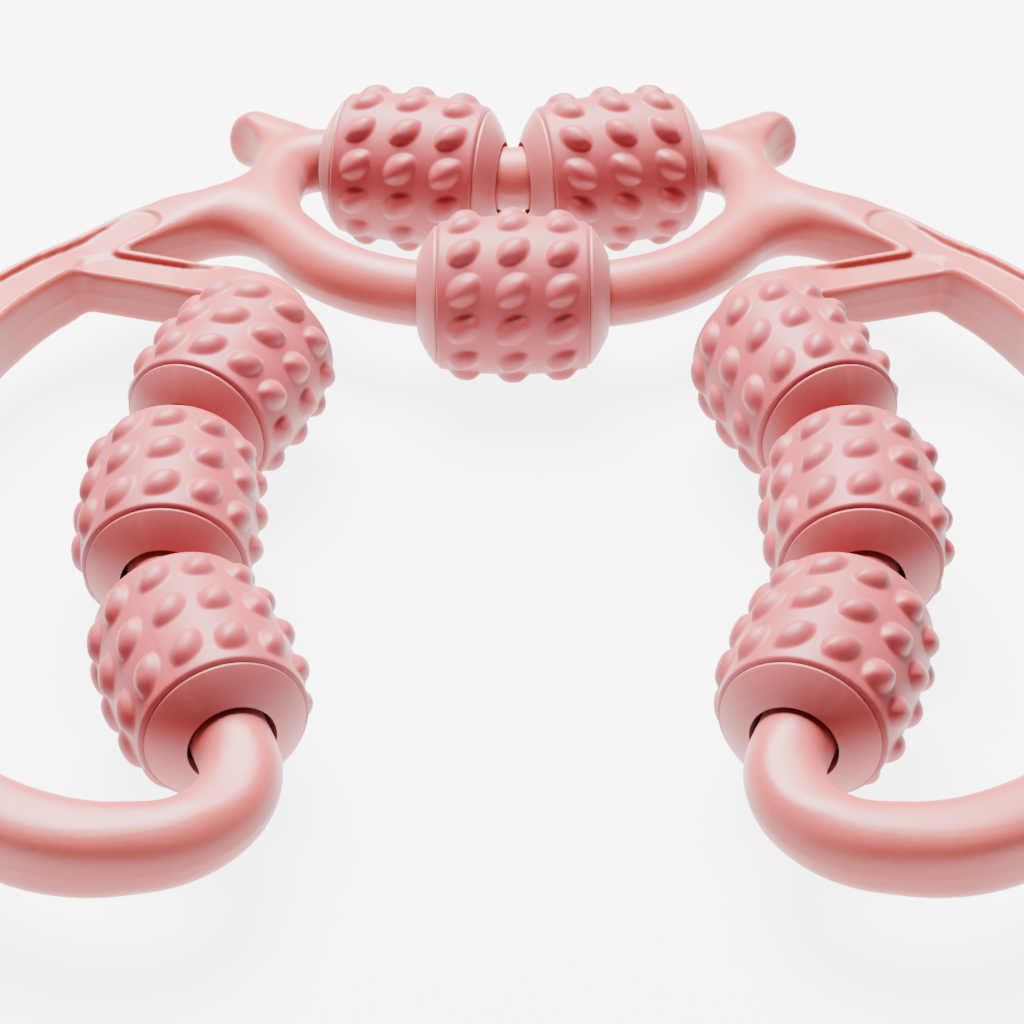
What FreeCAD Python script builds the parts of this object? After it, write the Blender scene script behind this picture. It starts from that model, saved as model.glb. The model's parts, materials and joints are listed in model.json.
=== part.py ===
import FreeCAD, Part
import math
import os

V = FreeCAD.Vector

# Hand-held roller massager. Millimetres, +Z up, the flat side of the frame level.
# X = 0 is the mirror plane. The open leg space faces -Y. Z = 0 is the table under the studs.

AXLE_Z = 20.0            # height of every axle and of the frame's middle plane
AXLE_R = 7.6             # round bars of the frame

# Ring: crossbar, neck and front bar as one closed loop of round bar.
# Corners in plan: x, y, corner radius. The right half mirrors the left.
RING = [
    (0.0, 106.3, 12.4),
    (-54.6, 117.1, 11.5),
    (-60.5, 89.7, 26.0),
    (-38.8, 58.9, 42.0),
    (-17.4, 55.1, 50.0),
]

# Side loop: out along the arm, round the handle and grip, back up the side axle,
# round the elbow and out along the web. Corners in plan as above.
ARM_ROOT = (-57.0, 92.5)
HANDLE = [
    (-84.0, 81.0, 60.0),
    (-114.3, 47.5, 75.0),
    (-134.0, 0.0, 150.0),
    (-131.0, -85.0, 95.0),
    (-95.0, -119.0, 50.0),
    (-78.0, -125.7, 33.0),
    (-42.4, -122.0, 18.0),
]
SIDE_AXLE = [
    (-69.2, -52.8, 54.0),
    (-70.5, -4.2, 54.0),
]
ELBOW = (-49.8, 48.6, 9.0)
WEB_END = (-97.0, 62.5)
OVERLAP = 1.0            # how far the side axle runs inside the grip and the elbow

# Section along a bar: distance, (half width, half height, squareness).
# Squareness 2 is an ellipse; larger is flatter with tighter corners.
ARM_SECTION = [
    (0.0, (7.4, 7.9, 2.2)),
    (9.0, (8.2, 8.5, 2.3)),
    (18.0, (8.1, 8.1, 2.6)),
    (33.0, (6.5, 5.9, 5.0)),
    (46.0, (6.2, 6.2, 5.0)),
    (62.0, (6.1, 7.6, 4.6)),
    (82.0, (6.6, 8.5, 4.0)),
    (120.0, (8.0, 8.3, 3.2)),
    (262.0, (8.1, 8.2, 2.9)),
    (302.0, (7.7, 7.7, 2.0)),
]
WEB_SECTION = [
    (0.0, (7.7, 7.7, 2.0)),
    (14.0, (7.4, 7.3, 2.2)),
    (26.0, (6.2, 5.8, 4.0)),
    (40.0, (6.1, 5.7, 5.0)),
]

# Channel sunk in the flat faces of the arm and the web
RIM = 2.2                # width of the rim left each side of it
CHANNEL_DEPTH = 2.6
ARM_CHANNEL = (30.0, 108.0)
ARM_CHANNEL_FADE = 80.0  # from here the floor rises to the surface
WEB_CHANNEL = (25.0, 52.0)

# Horn beyond each end of the crossbar, a tapered peg with a ball end and a shallow dish
HORN_ROOT = (-50.5, 116.3)
HORN_TIP = (-63.2, 125.2)
HORN_ROOT_R = 7.3
HORN_TIP_R = 7.0
HORN_FLAT_R = 0.6        # the ball's very end is flat
DISH_FACING = (-0.85, -0.45, 0.25)
DISH_R = 22.0
DISH_DEPTH = 2.0

# Rollers: plan centre, direction of the axle in degrees from +X, turn about it at rest
ROLLERS = {
    "front": (0.0, 55.1, 0.0, 38.5),
    "rear_left": (-23.9, 111.03, -11.2, 45.0),
    "upper_left": (-61.05, 19.9, -111.41, 103.0),
    "middle_left": (-69.86, -28.2, -88.47, 105.0),
    "lower_left": (-59.87, -76.9, -68.83, 121.0),
}

# Roller section: half lengths along the axle (A) and radii (R)
BORE_R = 7.68
LAND_A = 11.0            # the bore is tight only this far from the middle
RELIEF_R = 8.7           # beyond it the bore opens to clear the bend of the bar
CORE_R = 13.5
RIB_A = (5.0, 8.0)       # the skin keys into a groove between these
RIB_DEPTH = 1.0
FLANGE_A = (17.2, 17.9)
FLANGE_R = 15.65
DOME_A = 20.2
DOME_R = 12.0
END_A = 21.7
SKIN_A = 16.7
SKIN_R = (18.0, 16.55)   # barrel radius in the middle and at its ends
SKIN_EDGE = 0.5

# Studs: rounded square pillows in rows round the roller and columns along it
STUD_ROWS = 12
STUD_PITCH = 11.0
STUD_LAYERS = [(17.2, 4.05), (18.5, 3.65), (19.5, 2.7), (19.94, 1.5)]
STUD_SQUARENESS = 3.0

# Snap pegs between the core halves
PEG_R = 1.4
PEG_LENGTH = 3.5
PEG_A = 10.5
PEG_RING_R = 10.6
PEG_SLACK = 0.05


def at(x, y):
    return V(x, y, AXLE_Z)


def rounded_path(corners):
    """Straight edges and tangent arcs through plan corners; the ends need no radius."""
    edges = []
    last = at(*corners[0][:2])
    for before, here, after in zip(corners, corners[1:], corners[2:]):
        corner = at(*here[:2])
        back = (at(*before[:2]) - corner).normalize()
        ahead = (at(*after[:2]) - corner).normalize()
        half = back.getAngle(ahead) / 2.0
        reach = here[2] / math.tan(half)
        to_arc = here[2] / math.sin(half) - here[2]
        start = corner + back * reach
        end = corner + ahead * reach
        if (start - last).Length > 1e-3:
            edges.append(Part.makeLine(last, start))
        edges.append(Part.Arc(start, corner + (back + ahead).normalize() * to_arc, end).toShape())
        last = end
    final = at(*corners[-1][:2])
    if (final - last).Length > 1e-3:
        edges.append(Part.makeLine(last, final))
    return edges


def stations(edges, spacing):
    """Distance, point and direction at even steps along edges drawn end to end."""
    found = []
    travelled = 0.0
    for edge in edges:
        first = edge.FirstParameter
        last = edge.LastParameter
        if found and (edge.valueAt(last) - found[-1][1]).Length < 1e-4:
            first, last = last, first
        count = max(1, math.ceil(edge.Length / spacing))
        for i in range(1 if found else 0, count + 1):
            t = first + (last - first) * i / count
            along = edge.tangentAt(t)
            if last < first:
                along = along * -1
            found.append((travelled + edge.Length * i / count, edge.valueAt(t), along))
        travelled += edge.Length
    return found


def blend(table, distance):
    """Values at a distance, eased from one row of the table to the next."""
    if distance <= table[0][0]:
        return table[0][1]
    for (d0, v0), (d1, v1) in zip(table, table[1:]):
        if distance <= d1:
            t = (distance - d0) / (d1 - d0)
            t = t * t * (3.0 - 2.0 * t)
            return [a + (b - a) * t for a, b in zip(v0, v1)]
    return table[-1][1]


def oval(centre, across, up, half_width, half_height, squareness):
    """Closed smooth curve between an ellipse and a rounded rectangle."""
    points = []
    for i in range(32):
        angle = 2.0 * math.pi * i / 32
        c = math.cos(angle)
        s = math.sin(angle)
        x = math.copysign(abs(c) ** (2.0 / squareness), c) * half_width
        z = math.copysign(abs(s) ** (2.0 / squareness), s) * half_height
        points.append(centre + across * x + up * z)
    curve = Part.BSplineCurve()
    curve.interpolate(points, PeriodicFlag=True)
    return Part.Wire([curve.toShape()])


def sideways(along):
    return V(along.y, -along.x, 0).normalize()


def shaped_bar(edges, section, spacing):
    """Bar whose width, height and squareness change along its path."""
    wires = []
    for distance, point, along in stations(edges, spacing):
        wires.append(oval(point, sideways(along), V(0, 0, 1), *blend(section, distance)))
    return Part.makeLoft(wires, True, False)


def round_bar(edges, radius):
    """Bar of one radius along tangent edges."""
    _, start, along = stations(edges, 1000.0)[0]
    ring = Part.Wire([Part.makeCircle(radius, start, along)])
    return Part.Wire(edges).makePipeShell([ring], True, True)


def channel(edges, section, span, fade):
    """Cutter for the channel in the upper face between two distances."""
    wires = []
    cap = None
    for distance, point, along in stations(edges, 3.0):
        if not span[0] <= distance <= span[1]:
            continue
        half_width, half_height, _ = blend(section, distance)
        half = half_width - RIM
        depth = CHANNEL_DEPTH * min(1.0, (span[1] + 3.0 - distance) / (span[1] + 3.0 - fade))
        low = V(0, 0, half_height - depth)
        high = V(0, 0, half_height + 4.0)
        side = sideways(along) * half
        corners = [point + side + low, point + side + high, point - side + high, point - side + low]
        wires.append(Part.makePolygon(corners + corners[:1]))
        if cap is None:
            cap = Part.makeCylinder(half, depth + 4.0, point + low)
    return Part.makeLoft(wires, True, True).fuse(cap)


def mirror_x(shape):
    return shape.mirror(V(0, 0, 0), V(1, 0, 0))


def upside_down(shape):
    return shape.mirror(at(0, 0), V(0, 0, 1))


def ring():
    """Crossbar, necks and front bar, one closed round bar."""
    corners = RING + [(-x, y, r) for x, y, r in reversed(RING[1:])]
    start = [(a + b) / 2.0 for a, b in zip(RING[0][:2], RING[1][:2])]
    return round_bar(rounded_path([start] + corners[1:] + corners[:1] + [start]), AXLE_R)


def outline(points):
    """Edges through plan points; an item of two points is an arc by way of the first."""
    edges = []
    last = V(*points[0], 0)
    for item in points[1:]:
        if isinstance(item[0], tuple):
            via = V(*item[0], 0)
            end = V(*item[1], 0)
            edges.append(Part.Arc(last, via, end).toShape())
        else:
            end = V(*item, 0)
            edges.append(Part.makeLine(last, end))
        last = end
    return edges


def turned(edges, angle):
    """Solid of a closed outline, turned from its own side over +Z about the X axis."""
    return Part.Face(Part.Wire(edges)).revolve(V(0, 0, 0), V(1, 0, 0), angle)


def horn():
    """Thumb lug at the corner of the ring."""
    root = at(*HORN_ROOT)
    tip = at(*HORN_TIP)
    along = tip - root
    reach = along.Length
    bulge = HORN_TIP_R * math.sqrt(0.5)
    flat_at = math.sqrt(HORN_TIP_R ** 2 - HORN_FLAT_R ** 2)
    peg = turned(outline([
        (0, 0),
        (0, -HORN_ROOT_R),
        (reach, -HORN_TIP_R),
        ((reach + bulge, -bulge), (reach + flat_at, -HORN_FLAT_R)),
        (reach + flat_at, 0),
        (0, 0),
    ]), 360)
    peg.rotate(V(0, 0, 0), V(0, 0, 1), math.degrees(math.atan2(along.y, along.x)))
    peg.translate(root)
    facing = V(*DISH_FACING).normalize()
    dish = Part.makeSphere(DISH_R, tip + facing * (HORN_TIP_R - DISH_DEPTH + DISH_R))
    return peg.cut(dish)


def frame():
    arm_path = rounded_path([ARM_ROOT] + HANDLE + [SIDE_AXLE[0]])[:-1]
    web_path = rounded_path([SIDE_AXLE[1], ELBOW, WEB_END])[1:]
    _, grip_end, grip_along = stations(arm_path, 1000.0)[-1]
    _, elbow_start, elbow_along = stations(web_path, 1000.0)[0]
    low = grip_end - grip_along * OVERLAP
    high = elbow_start + elbow_along * OVERLAP
    axle = round_bar(rounded_path([low] + SIDE_AXLE + [high]), AXLE_R)
    left = shaped_bar(arm_path, ARM_SECTION, 7.0)
    left = left.fuse([shaped_bar(web_path, WEB_SECTION, 3.0), axle, horn()])
    cutters = [
        channel(arm_path, ARM_SECTION, ARM_CHANNEL, ARM_CHANNEL_FADE),
        channel(web_path, WEB_SECTION, WEB_CHANNEL, WEB_CHANNEL[1]),
    ]
    for cutter in cutters:
        left = left.cut(cutter).cut(upside_down(cutter))
    return ring().fuse([left, mirror_x(left)])


def core_half():
    groove = CORE_R - RIB_DEPTH
    rim = FLANGE_R - 0.25
    edges = outline([
        (-END_A, RELIEF_R),
        ((-DOME_A, DOME_R), (-FLANGE_A[1], rim)),
        (-FLANGE_A[1] + 0.2, FLANGE_R),
        (-FLANGE_A[0], FLANGE_R),
        (-FLANGE_A[0], CORE_R),
        (-RIB_A[1], CORE_R),
        (-RIB_A[1], groove),
        (-RIB_A[0], groove),
        (-RIB_A[0], CORE_R),
        (RIB_A[0], CORE_R),
        (RIB_A[0], groove),
        (RIB_A[1], groove),
        (RIB_A[1], CORE_R),
        (FLANGE_A[0], CORE_R),
        (FLANGE_A[0], FLANGE_R),
        (FLANGE_A[1] - 0.2, FLANGE_R),
        (FLANGE_A[1], rim),
        ((DOME_A, DOME_R), (END_A, RELIEF_R)),
        (LAND_A + 1.0, RELIEF_R),
        (LAND_A, BORE_R),
        (-LAND_A, BORE_R),
        (-LAND_A - 1.0, RELIEF_R),
        (-END_A, RELIEF_R),
    ])
    half = turned(edges, 180)
    for a in (-PEG_A, PEG_A):
        peg = Part.makeCylinder(PEG_R, PEG_LENGTH + 1.0, V(a, PEG_RING_R, 1.0), V(0, 0, -1))
        hole = Part.makeCylinder(PEG_R + PEG_SLACK, PEG_LENGTH + 0.3, V(a, -PEG_RING_R, 0))
        half = half.fuse(peg).cut(hole)
    return half


def skin_half():
    edge_r = SKIN_R[1]
    groove = CORE_R - RIB_DEPTH
    edges = outline([
        (-SKIN_A, CORE_R),
        (-SKIN_A, edge_r - SKIN_EDGE),
        (-SKIN_A + SKIN_EDGE, edge_r),
        ((0, SKIN_R[0]), (SKIN_A - SKIN_EDGE, edge_r)),
        (SKIN_A, edge_r - SKIN_EDGE),
        (SKIN_A, CORE_R),
        (RIB_A[1], CORE_R),
        (RIB_A[1], groove),
        (RIB_A[0], groove),
        (RIB_A[0], CORE_R),
        (-RIB_A[0], CORE_R),
        (-RIB_A[0], groove),
        (-RIB_A[1], groove),
        (-RIB_A[1], CORE_R),
        (-SKIN_A, CORE_R),
    ])
    half = turned(edges, 180)
    studs = []
    for row in range(STUD_ROWS // 2):
        angle = 2.0 * math.pi * (row + 0.5) / STUD_ROWS
        outward = V(0, math.cos(angle), math.sin(angle))
        around = V(0, -math.sin(angle), math.cos(angle))
        for a in (-STUD_PITCH, 0.0, STUD_PITCH):
            wires = []
            for radius, half_size in STUD_LAYERS:
                centre = V(a, 0, 0) + outward * radius
                wires.append(oval(centre, V(1, 0, 0), around, half_size, half_size, STUD_SQUARENESS))
            studs.append(Part.makeLoft(wires, True, False))
    return half.fuse(studs)


def placed(shape, x, y, heading, turn):
    """Roller piece turned about its own axis and set on its axle."""
    copy = shape.copy()
    copy.rotate(V(0, 0, 0), V(1, 0, 0), turn)
    copy.rotate(V(0, 0, 0), V(0, 0, 1), heading)
    copy.translate(at(x, y))
    return copy


def save(name, shape):
    solids = shape.removeSplitter().Solids
    if len(solids) != 1 or not solids[0].isValid():
        raise RuntimeError(name + " is not one sound solid")
    solids[0].exportStep("parts/" + name + ".step")


os.makedirs("parts", exist_ok=True)
save("frame", frame())
PIECES = {
    "core": core_half(),
    "skin": skin_half(),
}
for roller, (x, y, heading, turn) in ROLLERS.items():
    for piece, shape in PIECES.items():
        for half, extra in (("a", 0.0), ("b", 180.0)):
            solid = placed(shape, x, y, heading, turn + extra)
            save("_".join((roller, piece, half)), solid)
            if x:
                twin = roller.replace("left", "right")
                save("_".join((twin, piece, half)), mirror_x(solid))
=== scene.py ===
import json
import math

import bpy
import numpy as np
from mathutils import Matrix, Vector


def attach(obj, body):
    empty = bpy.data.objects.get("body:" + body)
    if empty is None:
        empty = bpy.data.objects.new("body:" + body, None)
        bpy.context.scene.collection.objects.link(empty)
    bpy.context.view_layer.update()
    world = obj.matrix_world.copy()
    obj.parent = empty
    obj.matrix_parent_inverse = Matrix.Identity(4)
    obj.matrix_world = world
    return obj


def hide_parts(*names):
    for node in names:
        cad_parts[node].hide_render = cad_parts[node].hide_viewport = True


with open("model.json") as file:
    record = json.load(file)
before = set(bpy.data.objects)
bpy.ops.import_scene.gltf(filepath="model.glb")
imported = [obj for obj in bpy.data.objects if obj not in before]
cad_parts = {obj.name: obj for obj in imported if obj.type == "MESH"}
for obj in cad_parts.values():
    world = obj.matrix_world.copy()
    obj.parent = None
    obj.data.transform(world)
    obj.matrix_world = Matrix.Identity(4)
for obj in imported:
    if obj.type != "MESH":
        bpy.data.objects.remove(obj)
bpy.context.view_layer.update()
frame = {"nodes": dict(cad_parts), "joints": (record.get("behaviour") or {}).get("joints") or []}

# Hand-held roller massager. Lengths on the object are in millimetres and become metres in mesh_object.
# Lengths in the materials, the floor, the light and the camera are in metres.
# The frame is meshed here from one smooth field; the skins from a turned outline with studs on it.

MM = 0.001

AXLE_Z = 20.0
AXLE_R = 7.6

# Plan corners of the bars: x, y, corner radius. The right half mirrors the left.
RING = [
    (20.0, 110.26, 0.0),
    (0.0, 106.3, 12.4),
    (-54.6, 117.1, 11.5),
    (-60.5, 89.7, 26.0),
    (-38.8, 58.9, 42.0),
    (-17.4, 55.1, 50.0),
    (20.0, 55.1, 0.0),
]
SIDE_LOOP = [
    (-57.0, 92.5, 0.0),
    (-84.0, 81.0, 60.0),
    (-114.3, 47.5, 75.0),
    (-134.0, 0.0, 150.0),
    (-131.0, -85.0, 95.0),
    (-95.0, -119.0, 50.0),
    (-78.0, -125.7, 33.0),
    (-42.4, -122.0, 18.0),
    (-69.2, -52.8, 54.0),
    (-70.5, -4.2, 54.0),
    (-63.0, 14.9, 0.0),
]
ELBOW_AND_WEB = [
    (-70.5, -4.2, 0.0),
    (-49.8, 48.6, 9.0),
    (-97.0, 62.5, 0.0),
]

# Section along the side loop and along the elbow and web:
# distance, half width, half height, squareness (2 is an ellipse, larger is flatter)
SIDE_SECTION = [
    (0.0, 7.4, 7.9, 2.2),
    (9.0, 8.0, 8.5, 2.3),
    (19.0, 7.4, 7.8, 2.8),
    (30.0, 6.7, 6.6, 4.5),
    (40.0, 6.3, 6.0, 8.0),
    (46.0, 6.2, 6.1, 9.0),
    (62.0, 6.1, 7.5, 8.0),
    (82.0, 6.6, 8.4, 6.5),
    (120.0, 8.0, 8.3, 3.4),
    (262.0, 8.0, 8.2, 2.9),
    (302.0, 7.6, 7.6, 2.0),
]
WEB_SECTION = [
    (48.0, 7.6, 7.6, 2.0),
    (63.0, 7.4, 7.3, 2.2),
    (75.0, 6.3, 5.8, 5.5),
    (89.0, 6.2, 5.7, 9.0),
]

SIDE_STARTS = 7.0        # the side bar's own end stays this far out from the middle of the ring

# Fillets where bars meet in plan: middle, full out to, gone at, width
SIDE_FILLET = ((-66.0, 90.0), 16.0, 32.0, 10.0)
WEB_FILLET = ((-95.0, 62.0), 12.0, 24.0, 2.2)
HORN_FILLET = 6.0

# Channel in the flat faces
RIM = 2.2
CHANNEL_DEPTH = 1.9
SIDE_CHANNEL = (33.5, 80.0, 108.0)     # distance where it starts, begins to fade, is gone
WEB_CHANNEL = (63.0, 80.0)             # distance where it starts, is full depth
CHANNEL_RAMP = 14.0      # the side channel is full depth this far from its start
CHANNEL_SHALLOW = 0.35   # share of the depth that it starts with
CHANNEL_BLEND = 3.0      # fillet in plan where the two channels meet
CHANNEL_ROUND = 1.2      # rounding of the channel's edges

# Horn
HORN_ROOT = (-55.5, 119.8)
HORN_TIP = (-63.2, 125.2)
HORN_ROOT_R = 7.2
HORN_TIP_R = 7.0
DISH_FACING = (-0.74, -0.58, 0.34)
DISH_R = 22.0
DISH_DEPTH = 2.9
DISH_ROUND = 1.4

# Hollow for the thumb on top of the grip's last bend: middle, radius of the ball that cuts it, depth
SCOOP = (-50.5, -112.0)
SCOOP_R = 26.0
SCOOP_DEPTH = 0.9
SCOOP_ROUND = 2.5
GRIP_TOP = 7.9           # height of the grip above its own middle there

# Parting line round the middle of the frame: height and half thickness.
# It stops near the middle of each roller, so that the bores clear it.
RIDGE = 0.10
RIDGE_HALF = 0.4
RIDGE_STOPS = (22.0, 26.0)             # gone within, full beyond

# Grid that the frame is meshed on
CELL = 0.6
CELLS_TO_SIDE = 245      # cells from the middle plane to beyond the left handle
CELLS_PAST_MIDDLE = 2
GRID_END = 138.0         # half length along Y
GRID_TOP = 9.6           # half height
NEAR_BAR = 13.0          # the field is worked out this close to a bar, and is FAR elsewhere
FAR = 5.0
COARSE_STEP = 6.0
FINE_STEP = 1.5
PATH_END = 1e6           # longer than any path, so a stretch up to it runs to the path's end


def unit(v):
    return v / np.linalg.norm(v)


def rounded_path(corners, step=FINE_STEP):
    """Points along straight runs and tangent arcs through plan corners."""
    points = [np.array(corners[0][:2])]

    def run_to(end):
        last = points[-1]
        count = max(1, math.ceil(np.linalg.norm(end - last) / step))
        for i in range(1, count + 1):
            points.append(last + (end - last) * i / count)

    for before, here, after in zip(corners, corners[1:], corners[2:]):
        corner = np.array(here[:2])
        back = unit(np.array(before[:2]) - corner)
        ahead = unit(np.array(after[:2]) - corner)
        half = math.acos(np.dot(back, ahead)) / 2.0
        centre = corner + unit(back + ahead) * here[2] / math.sin(half)
        start = corner + back * here[2] / math.tan(half)
        end = corner + ahead * here[2] / math.tan(half)
        run_to(start)
        first = math.atan2(*(start - centre)[::-1])
        swing = math.atan2(*(end - centre)[::-1]) - first
        swing = (swing + math.pi) % (2.0 * math.pi) - math.pi
        count = max(2, math.ceil(abs(swing) * here[2] / step))
        for i in range(1, count + 1):
            angle = first + swing * i / count
            points.append(centre + here[2] * np.array([math.cos(angle), math.sin(angle)]))
    run_to(np.array(corners[-1][:2]))
    return np.array(points)


def nearest(path, x, y):
    """For each plan point: distance along the path, and distance from it."""
    gone = 0.0
    best = np.full(x.shape, 1e9)
    along = np.zeros(x.shape)
    for (x0, y0), (x1, y1) in zip(path, path[1:]):
        dx = x1 - x0
        dy = y1 - y0
        length = math.hypot(dx, dy)
        if length < 1e-9:
            continue
        t = np.clip(((x - x0) * dx + (y - y0) * dy) / length ** 2, 0.0, 1.0)
        away = np.hypot(x - x0 - t * dx, y - y0 - t * dy)
        closer = away < best
        best = np.where(closer, away, best)
        along = np.where(closer, gone + t * length, along)
        gone += length
    return along, best


def stretch(path, first, last):
    """The part of a path between two distances along it."""
    gone = np.concatenate([[0.0], np.cumsum(np.linalg.norm(np.diff(path, axis=0), axis=1))])
    inside = path[(gone > first) & (gone < last)]
    ends = [[np.interp(d, gone, path[:, i]) for i in range(2)] for d in (first, min(last, gone[-1]))]
    return np.concatenate([ends[:1], inside, ends[1:]])


def eased(table, distance, column):
    """Value in a column of the table at each distance, eased from row to row."""
    value = np.full(distance.shape, float(table[0][column]))
    for low, high in zip(table, table[1:]):
        t = np.clip((distance - low[0]) / (high[0] - low[0]), 0.0, 1.0)
        t = t * t * (3.0 - 2.0 * t)
        value = np.where(distance > low[0], low[column] + (high[column] - low[column]) * t, value)
    return value


def join(a, b, k):
    """Smooth union of two distances, with a fillet about k wide."""
    k = np.maximum(k, 1e-6)
    near = np.maximum(k - np.abs(a - b), 0.0) / k
    return np.minimum(a, b) - near * near * k * 0.25


def carve(a, b, k):
    """Smooth cut of b out of a."""
    return -join(-a, b, k)


def flat_bar(table, along, away):
    """Plan distance from a bar's side, then its half width, half height and squareness there."""
    width, height, square = (eased(table, along, column) for column in (1, 2, 3))
    return away - width, width, height, square


def merged(p, q, k):
    """Two bars joined in plan with a fillet, so that the joint grows no higher than they are."""
    k = np.maximum(k, 1e-6)
    share = np.clip(0.5 + (q[0] - p[0]) / (2.0 * k), 0.0, 1.0)
    mix = [b * (1.0 - share) + a * share for a, b in zip(p, q)]
    mix[0] = mix[0] - k * share * (1.0 - share)
    return mix


def thick(plan, z):
    """Signed distance of the merged bars over the heights."""
    edge, width, height, square = (v[:, None] for v in plan)
    inward = np.maximum(edge + width, 0.0) / width
    reach = (inward ** square + (np.abs(z) / height) ** square) ** (1.0 / square)
    return (reach - 1.0) * np.minimum(width, height)


def fade_near(x, y, place, inner, outer):
    """1 within inner of the place, down to 0 at outer."""
    gone = np.hypot(x - place[0], y - place[1])
    t = np.clip((outer - gone) / (outer - inner), 0.0, 1.0)
    return t * t * (3.0 - 2.0 * t)


def ball(x, y, z, centre, radius):
    """Signed distance of a ball from the plan points over the heights."""
    plan = (x - centre[0]) ** 2 + (y - centre[1]) ** 2
    return np.sqrt(plan[:, None] + (z - centre[2]) ** 2) - radius


def filleted(x, y, p, q, fillet):
    """Two bars joined in plan, with the fillet given by its place, reach and width."""
    place, inner, outer, width = fillet
    return merged(p, q, width * fade_near(x, y, place, inner, outer))


def bars(x, y, z, side_path, web_path):
    """Signed distance of the ring, side loop, horn, elbow and web joined together."""
    ring = flat_bar([(0.0, AXLE_R, AXLE_R, 2.0)], *nearest(rounded_path(RING), x, y))
    side_s, side_d = nearest(stretch(side_path, SIDE_STARTS, PATH_END), x, y)
    side = flat_bar(SIDE_SECTION, side_s + SIDE_STARTS, side_d)
    web = flat_bar(WEB_SECTION, *nearest(web_path, x, y))
    horn_section = [
        (0.0, HORN_ROOT_R, HORN_ROOT_R, 2.0),
        (math.dist(HORN_ROOT, HORN_TIP), HORN_TIP_R, HORN_TIP_R, 2.0),
    ]
    horn = flat_bar(horn_section, *nearest(np.array([HORN_ROOT, HORN_TIP]), x, y))

    plan = filleted(x, y, ring, side, SIDE_FILLET)
    plan = merged(plan, horn, HORN_FILLET)
    plan = filleted(x, y, plan, web, WEB_FILLET)
    return thick(plan, z)


def channels(x, y, z, side_path, web_path):
    """Signed distance of the joined channels in the side loop and the web, top and underside."""
    side_from, side_fades, side_gone = SIDE_CHANNEL
    web_from, web_full = WEB_CHANNEL
    side_s, side_d = nearest(stretch(side_path, side_from, side_gone), x, y)
    side_s = side_s + side_from
    web_s, web_d = nearest(stretch(web_path, web_from, PATH_END), x, y)
    web_s = web_s + web_from
    side_edge = side_d - (eased(SIDE_SECTION, side_s, 1) - RIM)
    web_edge = web_d - (eased(WEB_SECTION, web_s, 1) - RIM)
    fading = np.clip((side_gone - side_s) / (side_gone - side_fades), 0.0, 1.0)
    begun = (side_s - side_from) / CHANNEL_RAMP
    side_deep = fading * np.clip(CHANNEL_SHALLOW + (1.0 - CHANNEL_SHALLOW) * begun, 0.0, 1.0)
    web_deep = np.clip((web_s - web_from) / (web_full - web_from), 0.0, 1.0)
    side_floor = eased(SIDE_SECTION, side_s, 2) - CHANNEL_DEPTH * side_deep
    web_floor = eased(WEB_SECTION, web_s, 2) - CHANNEL_DEPTH * web_deep
    edge = join(side_edge, web_edge, CHANNEL_BLEND)
    share = np.clip(0.5 + (side_edge - web_edge) / CHANNEL_BLEND, 0.0, 1.0)
    deep = side_floor * (1.0 - share) + web_floor * share
    return np.maximum(edge[:, None], deep[:, None] - np.abs(z))


def parting_line(x, y, z):
    """How far the parting line stands out of the surface."""
    axle = np.zeros(x.shape)
    for joint in frame["joints"]:
        middle = (joint["pos_m"][0] / MM, joint["pos_m"][1] / MM)
        axle = np.maximum(axle, fade_near(x, y, middle, *RIDGE_STOPS))
    return RIDGE * (1.0 - axle)[:, None] * np.exp(-(z / RIDGE_HALF) ** 2)


def frame_field(x, y, z):
    """Signed distance from the left half of the frame: plan points down, heights across."""
    side_path = rounded_path(SIDE_LOOP)
    web_path = rounded_path(ELBOW_AND_WEB)
    whole = bars(x, y, z, side_path, web_path)
    dish = np.array([*HORN_TIP, 0.0]) + unit(np.array(DISH_FACING)) * (HORN_TIP_R - DISH_DEPTH + DISH_R)
    whole = carve(whole, ball(x, y, z, dish, DISH_R), DISH_ROUND)
    whole = carve(whole, channels(x, y, z, side_path, web_path), CHANNEL_ROUND)
    scoop = (*SCOOP, GRIP_TOP - SCOOP_DEPTH + SCOOP_R)
    whole = carve(whole, ball(x, y, z, scoop, SCOOP_R), SCOOP_ROUND)
    return whole - parting_line(x, y, z)


def surface(field, cell):
    """Corner places and quads of a field's zero surface, one corner per crossed cell."""
    shape = np.array(field.shape)
    ids = []
    places = []
    quads = []
    for axis in range(3):
        b = (axis + 1) % 3
        c = (axis + 2) % 3
        low = np.moveaxis(np.moveaxis(field, axis, 0)[:-1], 0, axis)
        high = np.moveaxis(np.moveaxis(field, axis, 0)[1:], 0, axis)
        found = np.argwhere((low < 0) != (high < 0))
        f0 = low[tuple(found.T)]
        f1 = high[tuple(found.T)]
        place = found.astype(float)
        place[:, axis] += f0 / (f0 - f1)
        around = []
        for shift_b, shift_c in ((0, 0), (-1, 0), (-1, -1), (0, -1)):
            beside = found.copy()
            beside[:, b] += shift_b
            beside[:, c] += shift_c
            around.append(np.ravel_multi_index(beside.T, shape - 1))
            ids.append(around[-1])
            places.append(place)
        quad = np.stack(around, axis=1)
        quads.append(np.where((f0 < 0)[:, None], quad, quad[:, ::-1]))
    ids = np.concatenate(ids)
    places = np.concatenate(places)
    used, corner = np.unique(ids, return_inverse=True)
    total = np.bincount(corner)
    points = np.stack([np.bincount(corner, places[:, i]) / total for i in range(3)], axis=1)
    return points * cell, np.searchsorted(used, np.concatenate(quads))


def mesh_object(name, points, faces):
    mesh = bpy.data.meshes.new(name)
    mesh.from_pydata((np.asarray(points) * MM).tolist(), [], [list(f) for f in faces])
    mesh.polygons.foreach_set("use_smooth", [True] * len(mesh.polygons))
    mesh.update()
    made = bpy.data.objects.new(name, mesh)
    bpy.context.scene.collection.objects.link(made)
    return made


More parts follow.
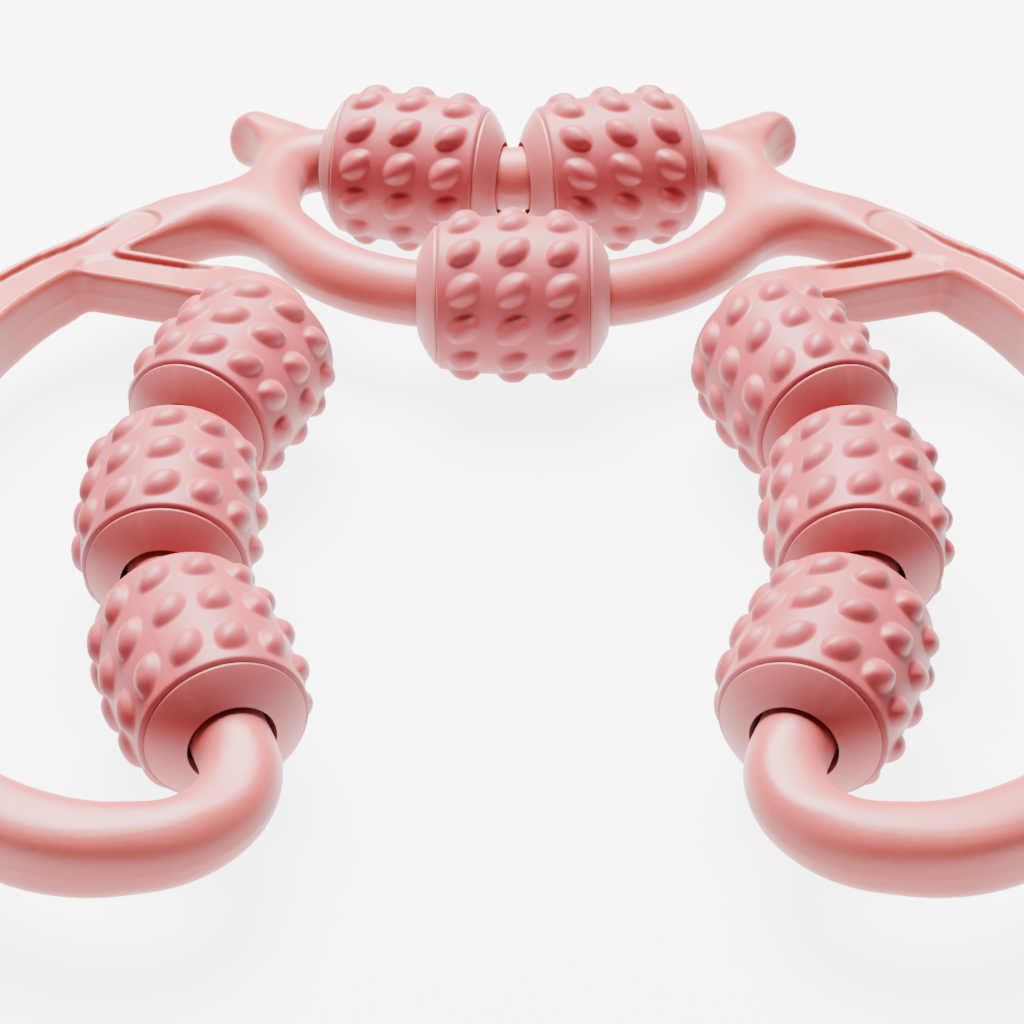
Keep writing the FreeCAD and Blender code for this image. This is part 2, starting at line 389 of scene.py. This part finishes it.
def build_frame():
    """The left half's field, mirrored in the middle plane and meshed."""
    xs = -CELL * np.arange(CELLS_TO_SIDE, -CELLS_PAST_MIDDLE - 1, -1)
    ys = np.arange(-GRID_END, GRID_END, CELL)
    zs = np.arange(-GRID_TOP, GRID_TOP + 0.01, CELL)
    x, y = (g.ravel() for g in np.meshgrid(xs, ys, indexing="ij"))
    field = np.full((x.size, zs.size), FAR)
    close = np.zeros(x.shape, bool)
    for corners in (RING, SIDE_LOOP, ELBOW_AND_WEB, [HORN_ROOT, HORN_TIP]):
        close |= nearest(rounded_path(corners, COARSE_STEP), x, y)[1] < NEAR_BAR
    field[close] = frame_field(x[close], y[close], zs)
    field = field.reshape(xs.size, ys.size, zs.size)
    left = field[:CELLS_TO_SIDE + 1]
    whole = np.concatenate([left, left[:-1][::-1]])
    points, quads = surface(whole, CELL)
    points += np.array([xs[0], ys[0], zs[0] + AXLE_Z])
    return mesh_object("frame_moulding", points, quads)


# Rollers. Turn at rest about the axle, and which way the studs' long diagonal leans.
ROLLERS = {
    "front": (38.5, -1),
    "rear_left": (45.0, -1),
    "upper_left": (103.0, 1),
    "middle_left": (105.0, 1),
    "lower_left": (121.0, 1),
    "rear_right": (45.0, -1),
    "upper_right": (103.0, -1),
    "middle_right": (105.0, -1),
    "lower_right": (121.0, -1),
}
CORE_R = 13.5
BARREL_R = 18.0
SKIN_A = 17.1            # half length of the skin along the axle
SKIN_END_R = 16.55
SKIN_EDGE = 0.7          # rounding of the skin's ends
SEAM_DEPTH = 0.02        # faint dip where two skin halves meet: depth and half width
SEAM_HALF = 0.3
ROWS_ALONG = 101
ROWS_ROUND = 151
STUD_ROWS = 12
STUD_PITCH = 11.0
STUD_HIGH = 1.97
STUD_HALF_LENGTH = 4.6
STUD_HALF_WIDTH = 3.1
STUD_ROUNDING = 0.35     # softens the crest along the long diagonal
STUD_SPREAD = 1.06       # how far the foot runs out past the leaf's outline
STUD_FOOT = 0.12         # how gently the foot leaves the barrel
STUD_DOME = 1.9          # how flat the top of the dome is
STUD_CREST = 0.95        # what the foot's curve comes to at the crest


def stud_height(a, arc):
    """Height of a leaf-shaped stud at a place measured along the axle and round the barrel."""
    along = (a + arc) * math.sqrt(0.5)
    across = (arc - a) * math.sqrt(0.5)
    radius = (STUD_HALF_LENGTH ** 2 + STUD_HALF_WIDTH ** 2) / (2.0 * STUD_HALF_WIDTH)
    shift = radius - STUD_HALF_WIDTH
    soft = np.hypot(across, STUD_ROUNDING) - STUD_ROUNDING * 0.5
    reach = (np.hypot(along, soft + shift) - shift) / STUD_HALF_WIDTH
    rise = np.clip(STUD_SPREAD - reach, 0.0, None)
    foot = rise * rise / (rise + STUD_FOOT)
    return STUD_HIGH * np.tanh(STUD_DOME * foot) / math.tanh(STUD_DOME * STUD_CREST)


def skin_radius(a, angle, lean):
    """Outer radius of the skin, studs included."""
    sag = BARREL_R - SKIN_END_R
    bow = (SKIN_A ** 2 + sag ** 2) / (2.0 * sag)
    radius = BARREL_R - bow + np.sqrt(bow ** 2 - a ** 2)
    pitch = 2.0 * math.pi / STUD_ROWS
    middle = (np.floor(angle / pitch) + 0.5) * pitch
    arc = (angle - middle) * BARREL_R * lean
    for column in (-STUD_PITCH, 0.0, STUD_PITCH):
        radius = radius + stud_height(a - column, arc)
    return radius


def swept_half(outline_a, radius, angles):
    """Closed half ring: an outline swept through the angles, its radii given for each angle."""
    rows = len(angles)
    count = len(outline_a)
    a = np.tile(outline_a, (rows, 1))
    r = np.array([radius(angle) for angle in angles])
    angle = np.tile(angles[:, None], (1, count))
    points = np.stack([a, r * np.cos(angle), r * np.sin(angle)], axis=2).reshape(-1, 3)
    faces = []
    for i in range(rows - 1):
        for j in range(count):
            k = (j + 1) % count
            faces.append((i * count + j, i * count + k, (i + 1) * count + k, (i + 1) * count + j))
    faces.append(tuple(range(count))[::-1])
    faces.append(tuple((rows - 1) * count + j for j in range(count)))
    return points, faces


def skin_half(lean):
    """Points and faces of one half skin about the X axis, closed, angles 0 to 180 degrees."""
    outer = np.linspace(-SKIN_A, SKIN_A, ROWS_ALONG)
    edge = np.clip(np.abs(outer) - (SKIN_A - SKIN_EDGE), 0.0, SKIN_EDGE)
    rounding = SKIN_EDGE - np.sqrt(SKIN_EDGE ** 2 - edge ** 2)
    inner = outer[::-10]

    def radius(angle):
        from_seam = math.sin(angle) * BARREL_R
        dip = SEAM_DEPTH * math.exp(-(from_seam / SEAM_HALF) ** 2)
        studded = skin_radius(outer, np.full(outer.shape, angle), lean) - rounding - dip
        return np.concatenate([studded, np.full(inner.shape, CORE_R)])

    return swept_half(np.concatenate([outer, inner]), radius, np.linspace(0.0, math.pi, ROWS_ROUND))


def placed(points, faces, x, y, heading, turn, mirrored):
    """Roller geometry turned about its axle and set where the joint is."""
    turn = math.radians(turn)
    a, v, w = points.T
    side = v * math.cos(turn) - w * math.sin(turn)
    up = v * math.sin(turn) + w * math.cos(turn)
    px = x + a * math.cos(heading) - side * math.sin(heading)
    py = y + a * math.sin(heading) + side * math.cos(heading)
    if mirrored:
        return np.stack([-px, py, up + AXLE_Z], axis=1), [f[::-1] for f in faces]
    return np.stack([px, py, up + AXLE_Z], axis=1), faces


def material(name):
    made = bpy.data.materials.new(name)
    made.use_nodes = True
    nodes = made.node_tree.nodes
    return made, nodes, made.node_tree.links, nodes["Principled BSDF"]


def noise(nodes, links, coords, scale, detail):
    made = nodes.new("ShaderNodeTexNoise")
    made.inputs["Scale"].default_value = scale
    made.inputs["Detail"].default_value = detail
    links.new(coords, made.inputs["Vector"])
    return made.outputs["Fac"]


def mixed(nodes, links, factor, low, high, start, end):
    """Colour from low to high as factor goes from start to end."""
    ramp = nodes.new("ShaderNodeValToRGB")
    ramp.color_ramp.elements[0].position = start
    ramp.color_ramp.elements[0].color = (*low, 1.0)
    ramp.color_ramp.elements[1].position = end
    ramp.color_ramp.elements[1].color = (*high, 1.0)
    links.new(factor, ramp.inputs["Fac"])
    return ramp.outputs["Color"]


def blended(nodes, links, kind, amount, a, b):
    made = nodes.new("ShaderNodeMix")
    made.data_type = "RGBA"
    made.blend_type = kind
    made.inputs["Factor"].default_value = amount
    links.new(a, made.inputs["A"])
    links.new(b, made.inputs["B"])
    return made.outputs["Result"]


# Noise scales, in features per metre, and the tones they multiply in
CLOUD_SCALE = 42.0
SPECKLE_SCALE = 900.0
SPECKLE_DARK = (0.93, 0.92, 0.92)
SPECKLE_LIGHT = (1.05, 1.05, 1.05)
# Painted shade in the hollows and a painted highlight on the edges, multiplied in by how pointed the
# mesh is
HOLLOW_PAINTED_SHADE = (0.84, 0.80, 0.80)
EDGE_PAINTED_HIGHLIGHT = (1.10, 1.12, 1.12)
SMOOTHER = 0.06          # how far the roughness varies below and above its middle value
ROUGHER = 0.08
GRAIN_DEPTH = 0.00012


def moulded(name, colour, deep, rough, grain, sheen):
    """Satin moulded plastic or rubber: cloudy tone, painted highlight on the edges, painted shade in
    the hollows, a fine grain.
    """
    made, nodes, links, shader = material(name)
    coords = nodes.new("ShaderNodeTexCoord").outputs["Object"]
    cloud = noise(nodes, links, coords, CLOUD_SCALE, 4.0)
    speckle = noise(nodes, links, coords, SPECKLE_SCALE, 3.0)
    fine = noise(nodes, links, coords, grain, 2.0)
    tone = mixed(nodes, links, cloud, deep, colour, 0.28, 0.62)
    fleck = mixed(nodes, links, speckle, SPECKLE_DARK, SPECKLE_LIGHT, 0.3, 0.7)
    tone = blended(nodes, links, "MULTIPLY", 0.7, tone, fleck)
    # Painted shade darkens the hollows and a painted highlight pales the edges, going by the mesh's
    # pointiness
    point = nodes.new("ShaderNodeNewGeometry").outputs["Pointiness"]
    painted_shade_and_highlight = mixed(nodes, links, point, HOLLOW_PAINTED_SHADE, EDGE_PAINTED_HIGHLIGHT, 0.44, 0.56)
    tone = blended(nodes, links, "MULTIPLY", 0.8, tone, painted_shade_and_highlight)
    links.new(tone, shader.inputs["Base Color"])
    spread = nodes.new("ShaderNodeMapRange")
    spread.inputs["To Min"].default_value = rough - SMOOTHER
    spread.inputs["To Max"].default_value = rough + ROUGHER
    links.new(cloud, spread.inputs["Value"])
    links.new(spread.outputs["Result"], shader.inputs["Roughness"])
    bump = nodes.new("ShaderNodeBump")
    bump.inputs["Strength"].default_value = 0.12
    bump.inputs["Distance"].default_value = GRAIN_DEPTH
    links.new(fine, bump.inputs["Height"])
    links.new(bump.outputs["Normal"], shader.inputs["Normal"])
    shader.inputs["Subsurface Weight"].default_value = 0.18
    shader.inputs["Subsurface Radius"].default_value = (1.0, 0.35, 0.3)
    shader.inputs["Subsurface Scale"].default_value = 0.003
    shader.inputs["Specular IOR Level"].default_value = 0.25
    shader.inputs["Sheen Weight"].default_value = sheen
    shader.inputs["Sheen Roughness"].default_value = 0.4
    return made


# Colour, deeper colour, roughness, grain scale, sheen
FRAME_PLASTIC = moulded("frame_plastic", (0.31, 0.053, 0.048), (0.28, 0.045, 0.041), 0.42, 5200.0, 0.05)
CORE_PLASTIC = moulded("core_plastic", (0.32, 0.064, 0.070), (0.29, 0.056, 0.062), 0.46, 5200.0, 0.05)
SKIN_RUBBER = moulded("skin_rubber", (0.27, 0.034, 0.042), (0.24, 0.028, 0.035), 0.50, 4200.0, 0.10)


def build_rollers():
    """Studded skins on every joint's axle, and the cores' own material."""
    shapes = {lean: skin_half(lean) for lean in (-1, 1)}
    for joint in frame["joints"]:
        roller = joint["name"].removesuffix("_spin")
        turn, lean = ROLLERS[roller]
        mirrored = roller.endswith("right")
        side = -1.0 if mirrored else 1.0
        x = side * joint["pos_m"][0] / MM
        y = joint["pos_m"][1] / MM
        heading = math.atan2(joint["axis"][1], side * joint["axis"][0])
        for half, extra in (("a", 0.0), ("b", 180.0)):
            points, faces = placed(*shapes[lean], x, y, heading, turn + extra, mirrored)
            node = f"{roller}_skin_{half}"
            piece = mesh_object(f"{node}_studded", points, faces)
            piece.data.materials.append(SKIN_RUBBER)
            piece.data.set_sharp_from_angle(angle=math.radians(50.0))
            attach(piece, roller + "_roller")
            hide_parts(node)
            core = frame["nodes"][f"{roller}_core_{half}"]
            core.data.materials.clear()
            core.data.materials.append(CORE_PLASTIC)


moulding = build_frame()
moulding.data.materials.append(FRAME_PLASTIC)
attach(moulding, "frame")
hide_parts("frame")
build_rollers()

# Floor: a lit white table, so that shadows on it stay faint
FLOOR_SIZE = 12.0
FLOOR_Z = -0.0005
FLOOR_GLOW = 5.5
FLOOR_DARK = (0.19, 0.19, 0.19)
FLOOR_LIGHT = (0.20, 0.20, 0.20)
bpy.ops.mesh.primitive_plane_add(size=FLOOR_SIZE, location=(0.0, 0.0, FLOOR_Z))
floor = bpy.context.active_object
floor.name = "floor"
paper, nodes, links, shader = material("floor_paper")
coords = nodes.new("ShaderNodeTexCoord").outputs["Object"]
patches = noise(nodes, links, coords, 3.0, 3.0)
links.new(mixed(nodes, links, patches, FLOOR_DARK, FLOOR_LIGHT, 0.3, 0.7), shader.inputs["Base Color"])
shader.inputs["Roughness"].default_value = 0.9
shader.inputs["Specular IOR Level"].default_value = 0.1
shader.inputs["Emission Color"].default_value = (1.0, 1.0, 1.0, 1.0)
shader.inputs["Emission Strength"].default_value = FLOOR_GLOW
floor.data.materials.append(paper)


def aimed(name, data, place, aim):
    """A light or camera standing at a place and looking at its aim."""
    made = bpy.data.objects.new(name, data)
    made.location = place
    made.rotation_euler = (Vector(aim) - Vector(place)).to_track_quat("-Z", "Y").to_euler()
    bpy.context.scene.collection.objects.link(made)
    return made


# Light: one soft disk above and behind, and a weak even surround
LIGHT_AT = (-0.12, 0.62, 1.05)
LIGHT_AIM = (0.0, 0.0, 0.0)
overhead = bpy.data.lights.new("overhead", "AREA")
overhead.shape = "DISK"
overhead.size = 0.8
overhead.energy = 200.0
aimed("overhead", overhead, LIGHT_AT, LIGHT_AIM)

world = bpy.data.worlds.new("studio")
bpy.context.scene.world = world
world.use_nodes = True
surround = world.node_tree.nodes["Background"]
surround.inputs["Color"].default_value = (1.0, 0.99, 0.985, 1.0)
surround.inputs["Strength"].default_value = 0.25

# Camera: about 37 degrees down on the open end, a long lens from 0.59 m
CAMERA_AT = (0.0, -0.4983, 0.3798)
CAMERA_AIM = (0.0, -0.027, 0.020)
camera = aimed("camera", bpy.data.cameras.new("camera"), CAMERA_AT, CAMERA_AIM)
bpy.context.scene.camera = camera
camera.data.sensor_width = 36.0
camera.data.lens = 101.9
camera.data.shift_x = -0.001
camera.data.shift_y = 0.0026

bpy.context.view_layer.update()
